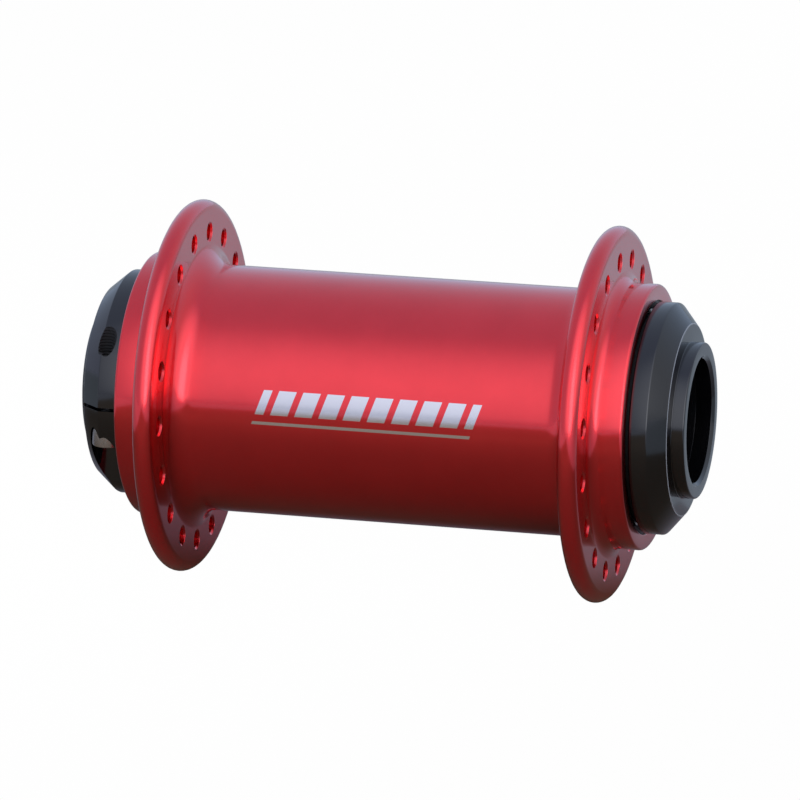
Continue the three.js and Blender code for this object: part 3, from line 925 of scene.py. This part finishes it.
def turned_lines(nodes, radius, y, scale):
    """Noise that is the same all the way round the axis, as a lathe tool leaves it."""
    lines = nodes.add("ShaderNodeCombineXYZ", X=radius, Y=y)
    return nodes.noise(lines.outputs["Vector"], scale, 2.0, 0.7)


def bumped(nodes, height, distance, strength=1.0, under=None):
    inputs = {"Height": height, "Distance": distance, "Strength": strength}
    made = nodes.add("ShaderNodeBump", **inputs)
    if under is not None:
        nodes.feed(made.inputs["Normal"], under)
    return made.outputs["Normal"]


def close(nodes, shader):
    nodes.add("ShaderNodeOutputMaterial", Surface=shader.outputs["BSDF"])


def slanted_bars(nodes, x, y, z):
    """1 on a plain row of slanted bars printed on the barrel, with a thin line below it."""
    round_angle = nodes.math("ARCTAN2", z, x)
    height = nodes.math("MULTIPLY", round_angle, BARREL)
    from_row = nodes.math("SUBTRACT", height, BAND_HEIGHT)
    slanted = nodes.math("SUBTRACT", y, nodes.math("MULTIPLY", from_row, BAND_SLANT))
    phase = nodes.math("FRACT", nodes.math("DIVIDE", slanted, BAND_PITCH))
    bar = edge_mask(nodes, nodes.math("ABSOLUTE", nodes.math("SUBTRACT", phase, 0.5)), BAND_FILL / 2, 0.012)
    rows = edge_mask(nodes, nodes.math("ABSOLUTE", from_row), BAND_TALL / 2, 0.03 * MM)
    reach = edge_mask(nodes, nodes.math("ABSOLUTE", slanted), BAND_REACH, 0.03 * MM)
    from_line = nodes.math("ABSOLUTE", nodes.math("SUBTRACT", from_row, -BAND_LINE_DROP))
    line = edge_mask(nodes, from_line, BAND_LINE / 2, 0.03 * MM)
    bars = nodes.math("MULTIPLY", bar, rows)
    both = nodes.math("MAXIMUM", bars, line)
    on_outside = nodes.ramp(nodes.math("ABSOLUTE", y), 30 * MM, 29 * MM)
    return nodes.math("MULTIPLY", nodes.math("MULTIPLY", both, reach), on_outside)


def edge_mask(nodes, distance, limit, softness):
    return nodes.ramp(distance, limit + softness, limit - softness, smooth=True)


def highlight_edge_mask(nodes, radius, along, edge_radius, edge_along):
    """1 on a turned edge, given by its radius and its distance from the hub's middle, where a highlight is
    painted.
    """
    off_r = nodes.math("SUBTRACT", radius, edge_radius)
    off_y = nodes.math("SUBTRACT", along, edge_along)
    return nodes.ramp(hypotenuse(nodes, off_r, off_y), PAINTED_HIGHLIGHT_REACH, PAINTED_HIGHLIGHT_REACH / 2, smooth=True)


def tapped_hole(nodes, x, y):
    """The roughness of the bolt's hole through the collar, where a thread breaks up the gloss."""
    off_x = nodes.math("SUBTRACT", x, BOLT_X)
    off_y = nodes.math("SUBTRACT", y, BOLT_Y)
    inside = edge_mask(nodes, hypotenuse(nodes, off_x, off_y), BOLT_THREAD_HOLE + 0.02 * MM, 0.01 * MM)
    return nodes.math("MULTIPLY", inside, THREAD_ROUGH)


def red_anodised():
    material, nodes = new_material("red_anodised_look")
    place, x, y, z, radius = place_axes(nodes)
    lines = turned_lines(nodes, radius, y, 2600.0)
    fine = turned_lines(nodes, radius, y, 9000.0)
    cloud = nodes.noise(place, 90.0, 4.0)
    dye = nodes.mix(nodes.ramp(cloud, 0.35, 0.65), *RED_DYE)
    outside = nodes.ramp(radius, BARREL - 0.6 * MM, BARREL - 0.3 * MM)
    print_mask = nodes.math("MULTIPLY", slanted_bars(nodes, x, y, z), outside)
    colour = nodes.mix(print_mask, dye, PRINT_COLOUR)
    streaks = nodes.math("ADD", nodes.math("MULTIPLY", lines, 0.6), nodes.math("MULTIPLY", fine, 0.4))
    rough = nodes.ramp(streaks, 0.3, 0.7, *RED_ROUGH)
    shader = nodes.add("ShaderNodeBsdfPrincipled", Base_Color=colour, Roughness=rough)
    shader.inputs["Metallic"].default_value = 1.0
    shader.inputs["Coat Weight"].default_value = 1.0
    shader.inputs["Coat Roughness"].default_value = 0.08
    shader.inputs["Coat IOR"].default_value = 1.5
    shader.inputs["Anisotropic"].default_value = 0.8
    shader.inputs["Anisotropic Rotation"].default_value = 0.25
    turned = nodes.add("ShaderNodeTangent", {"direction_type": "RADIAL", "axis": "Y"})
    nodes.feed(shader.inputs["Tangent"], turned.outputs["Tangent"])
    nodes.feed(shader.inputs["Normal"], bumped(nodes, streaks, 0.6e-6))
    close(nodes, shader)
    return material


def black_anodised():
    material, nodes = new_material("black_anodised_look")
    place, x, y, _, radius = place_axes(nodes)
    grain = nodes.noise(place, 5200.0, 3.0)
    lines = turned_lines(nodes, radius, y, 3400.0)
    cloud = nodes.noise(place, 140.0, 4.0)
    colour = nodes.mix(nodes.ramp(cloud, 0.35, 0.65), *BLACK_DYE)
    # A painted highlight: a brighter line mixed into the colour on the end cap's step edge.
    painted_highlight = highlight_edge_mask(nodes, radius, y, CAP_STEP_RADIUS, CAP_STEP)
    colour = nodes.mix(painted_highlight, colour, PAINTED_EDGE_HIGHLIGHT)
    relief = nodes.math("ADD", nodes.math("MULTIPLY", grain, 0.5), nodes.math("MULTIPLY", lines, 0.5))
    rough = nodes.ramp(relief, 0.3, 0.7, *BLACK_ROUGH)
    rough = nodes.math("MAXIMUM", rough, tapped_hole(nodes, x, y))
    shader = nodes.add("ShaderNodeBsdfPrincipled", Base_Color=colour, Roughness=rough)
    shader.inputs["IOR"].default_value = 1.65
    nodes.feed(shader.inputs["Normal"], bumped(nodes, relief, 1.0e-6))
    close(nodes, shader)
    return material


def metal(name, low, high, rough_low, rough_high, grain_scale, relief):
    """Bare or oxidised steel between two colours, with fine scratches and grain."""
    material, nodes = new_material(name)
    place, _, y, _, radius = place_axes(nodes)
    grain = nodes.noise(place, grain_scale, 4.0)
    lines = turned_lines(nodes, radius, y, grain_scale * 0.8)
    cloud = nodes.noise(place, 260.0, 3.0)
    colour = nodes.mix(nodes.ramp(cloud, 0.35, 0.65), (*low, 1), (*high, 1))
    both = nodes.math("ADD", nodes.math("MULTIPLY", grain, 0.45), nodes.math("MULTIPLY", lines, 0.55))
    rough = nodes.ramp(both, 0.3, 0.7, rough_low, rough_high)
    shader = nodes.add("ShaderNodeBsdfPrincipled", Base_Color=colour, Roughness=rough)
    shader.inputs["Metallic"].default_value = 1.0
    nodes.feed(shader.inputs["Normal"], bumped(nodes, both, relief))
    close(nodes, shader)
    return material


def moulded(name, low, high, rough_low, rough_high, relief):
    """Rubber or nylon, with a fine moulded grain and slight mottling."""
    material, nodes = new_material(name)
    place = nodes.add("ShaderNodeTexCoord").outputs["Object"]
    grain = nodes.noise(place, 3000.0, 4.0)
    cloud = nodes.noise(place, 300.0, 3.0)
    colour = nodes.mix(nodes.ramp(cloud, 0.35, 0.65), (*low, 1), (*high, 1))
    rough = nodes.ramp(grain, 0.3, 0.7, rough_low, rough_high)
    shader = nodes.add("ShaderNodeBsdfPrincipled", Base_Color=colour, Roughness=rough)
    nodes.feed(shader.inputs["Normal"], bumped(nodes, grain, relief))
    close(nodes, shader)
    return material


def make_materials():
    return {
        "red_anodised": red_anodised(),
        "black_anodised": black_anodised(),
        "bearing_steel": metal(
            "bearing_steel_look", (0.60, 0.60, 0.61), (0.68, 0.68, 0.69), 0.10, 0.20, 4200.0, 0.3e-6,
        ),
        "bright_steel": metal(
            "bright_steel_look", (0.50, 0.50, 0.51), (0.60, 0.60, 0.61), 0.22, 0.34, 3600.0, 0.8e-6,
        ),
        "spring_steel": metal(
            "spring_steel_look", (0.035, 0.036, 0.040), (0.060, 0.060, 0.064), 0.30, 0.42, 3600.0, 0.8e-6,
        ),
        "black_rubber": moulded(
            "black_rubber_look", (0.004, 0.004, 0.004), (0.008, 0.008, 0.008), 0.60, 0.80, 4.0e-6,
        ),
        "cage_nylon": moulded(
            "cage_nylon_look", (0.52, 0.46, 0.31), (0.62, 0.56, 0.40), 0.40, 0.55, 2.0e-6,
        ),
    }


# ---- surroundings ----

def flat_sheet(name, low_x, high_x, low_y, high_y, z):
    bm = bmesh.new()
    corners = [(low_x, low_y), (high_x, low_y), (high_x, high_y), (low_x, high_y)]
    bm.faces.new([bm.verts.new((x, y, z)) for x, y in corners])
    sheet = finish_mesh(bm, name)
    return sheet


def make_painted_shadow_card():
    """A warm card over the floor, with a painted shadow of the hub that makes it darkest under the hub,
    that mirrors but that the camera doesn't see.
    """
    card = flat_sheet("painted_shadow_card", CARD_BACK, CARD_FRONT, CARD_LEFT, CARD_RIGHT, CARD_HEIGHT)
    material, nodes = new_material("painted_shadow_card_look")
    place = nodes.add("ShaderNodeTexCoord").outputs["Object"]
    x = nodes.add("ShaderNodeSeparateXYZ", Vector=place).outputs[0]
    uneven = nodes.ramp(nodes.noise(place, 6.0, 3.0), 0.3, 0.7, -0.05, 0.05)
    away = nodes.math("ADD", nodes.ramp(x, 0.0, CARD_SHADOW_FADE), uneven, clamp=True)
    # The colour close to the hub is a painted shadow of the hub, fading out away from it.
    colour = nodes.mix(away, CARD_PAINTED_SHADOW, CARD_FAR)
    colour = nodes.mix(nodes.ramp(x, 0.0, CARD_TURN), colour, CARD_BEHIND)
    matte = nodes.add("ShaderNodeBsdfDiffuse", Color=colour)
    nodes.add("ShaderNodeOutputMaterial", Surface=matte.outputs[0])
    card.data.materials.append(material)
    card.visible_camera = False


def make_floor():
    floor = flat_sheet("floor", -FLOOR_REACH, FLOOR_REACH, -FLOOR_REACH, FLOOR_REACH, -FLOOR_DROP)
    material, nodes = new_material("floor_look")
    place = nodes.add("ShaderNodeTexCoord").outputs["Object"]
    tone = nodes.ramp(nodes.noise(place, 1.5, 2.0), 0.3, 0.7, 0.985, 1.0)
    white = nodes.add("ShaderNodeCombineColor", Red=tone, Green=tone, Blue=tone).outputs[0]
    glow = nodes.add("ShaderNodeEmission", Color=white)
    x = nodes.add("ShaderNodeSeparateXYZ", Vector=place).outputs[0]
    shade = nodes.mix(nodes.ramp(x, 0.0, FLOOR_CHANGE), FLOOR_BEHIND, FLOOR_IN_FRONT)
    matte = nodes.add("ShaderNodeBsdfDiffuse", Color=shade)
    seen = nodes.add("ShaderNodeLightPath").outputs["Is Camera Ray"]
    shown = nodes.blend(seen, matte.outputs[0], glow.outputs[0])
    from_below = nodes.math("MULTIPLY", seen, nodes.add("ShaderNodeNewGeometry").outputs["Backfacing"])
    clear = nodes.add("ShaderNodeBsdfTransparent")
    shown = nodes.blend(from_below, shown, clear.outputs[0])
    nodes.add("ShaderNodeOutputMaterial", Surface=shown)
    floor.data.materials.append(material)


def wide_glow(nodes, way, z):
    """A round glow in one direction of the room, fading towards its edge and near the horizon."""
    a, h = math.radians(WIDE_AZIMUTH), math.radians(WIDE_HEIGHT)
    facing = nodes.add("ShaderNodeVectorMath", {"operation": "DOT_PRODUCT"})
    nodes.feed(facing.inputs[0], way)
    nodes.feed(facing.inputs[1], (math.cos(a) * math.cos(h), math.sin(a) * math.cos(h), math.sin(h)))
    core, edge = math.cos(math.radians(WIDE_CORE)), math.cos(math.radians(WIDE_EDGE))
    glow = nodes.ramp(facing.outputs["Value"], edge, core, 0.0, WIDE_STRENGTH, smooth=True)
    return nodes.math("MULTIPLY", glow, nodes.ramp(z, WIDE_FOOT, WIDE_RISE))


def panel_glow(nodes, x, y, z):
    """A tall panel of light that stands on the horizon."""
    azimuth = nodes.math("ARCTAN2", y, x)
    aside = nodes.math("ABSOLUTE", nodes.math("SUBTRACT", azimuth, math.radians(PANEL_AZIMUTH)))
    core, edge = math.radians(PANEL_CORE), math.radians(PANEL_EDGE)
    across = nodes.ramp(aside, edge, core, 0.0, PANEL_STRENGTH, smooth=True)
    high, top = math.sin(math.radians(PANEL_HIGH)), math.sin(math.radians(PANEL_TOP))
    upward = nodes.ramp(z, top, high, smooth=True)
    return nodes.math("MULTIPLY", across, upward)


def make_studio_light():
    """A pale room, bluer behind, with soft light from in front."""
    world = bpy.data.worlds.new("studio")
    world.use_nodes = True
    bpy.context.scene.world = world
    nodes = Nodes(world.node_tree)
    way = nodes.add("ShaderNodeTexCoord").outputs["Generated"]
    x, y, z = nodes.add("ShaderNodeSeparateXYZ", Vector=way).outputs
    colour = nodes.mix(nodes.ramp(y, -1.0, 1.0), ROOM_LEFT, ROOM_RIGHT)
    colour = nodes.mix(nodes.ramp(z, 0.5, 1.0), colour, ROOM_TOP)
    colour = nodes.mix(nodes.ramp(x, -0.2, -1.0), colour, ROOM_BACK)
    lit = nodes.add("ShaderNodeBackground", Color=colour).outputs[0]
    for glow in (wide_glow(nodes, way, z), panel_glow(nodes, x, y, z)):
        light = nodes.add("ShaderNodeBackground", Color=GLOW_COLOUR, Strength=glow)
        both = nodes.add("ShaderNodeAddShader")
        nodes.feed(both.inputs[0], lit)
        nodes.feed(both.inputs[1], light.outputs[0])
        lit = both.outputs[0]
    seen = nodes.add("ShaderNodeLightPath").outputs["Is Camera Ray"]
    white = nodes.add("ShaderNodeBackground", Color=(1, 1, 1, 1)).outputs[0]
    nodes.add("ShaderNodeOutputWorld", Surface=nodes.blend(seen, lit, white))
    bpy.context.scene.view_settings.view_transform = "Standard"


# ---- the hub ----

def make_pieces():
    """Every fine piece, with the CAD node that it takes the place of."""
    rows = [(make_shell(), "hub_shell"), (make_axle(), "axle")]
    rows += [(make_end_cap(), "right_end_cap"), (make_o_ring(), "right_end_cap_o_ring")]
    for side_name, side in (("left", -1), ("right", 1)):
        seal = f"{side_name}_dust_seal"
        rows.append((make_dust_seal(f"{seal}_fine", side), seal))
        bearing = f"{side_name}_bearing"
        rows.append((make_outer_race(f"{bearing}_outer_race_fine", side), f"{bearing}_outer_race"))
        rows.append((make_inner_race(f"{bearing}_inner_race_fine", side), f"{bearing}_inner_race"))
        rows.append((make_cage(f"{bearing}_cage_fine", side), f"{bearing}_cage"))
        for face_name, face in (("inboard", -1), ("outboard", 1)):
            node = f"{bearing}_{face_name}_seal"
            rows.append((make_bearing_seal(f"{node}_fine", side, face), node))
        for index, ball in enumerate(make_balls(side_name, side)):
            rows.append((ball, f"{bearing}_ball_{index + 1:02d}"))
        ring = f"{side_name}_retaining_ring"
        rows.append((make_retaining_ring(f"{ring}_fine", side), ring))
    rows.append((make_preload_washer(), "preload_washer"))
    rows.append((make_collar(), "adjusting_collar"))
    rows.append((make_bolt_washer(), "pinch_bolt_washer"))
    rows.append((make_bolt(), "pinch_bolt"))
    return rows


make_camera()
looks = make_materials()
for fine_piece, cad_node in make_pieces():
    stand_for(fine_piece, cad_node, looks[SLOT_OF[cad_node]])
make_floor()
make_painted_shadow_card()
make_studio_light()
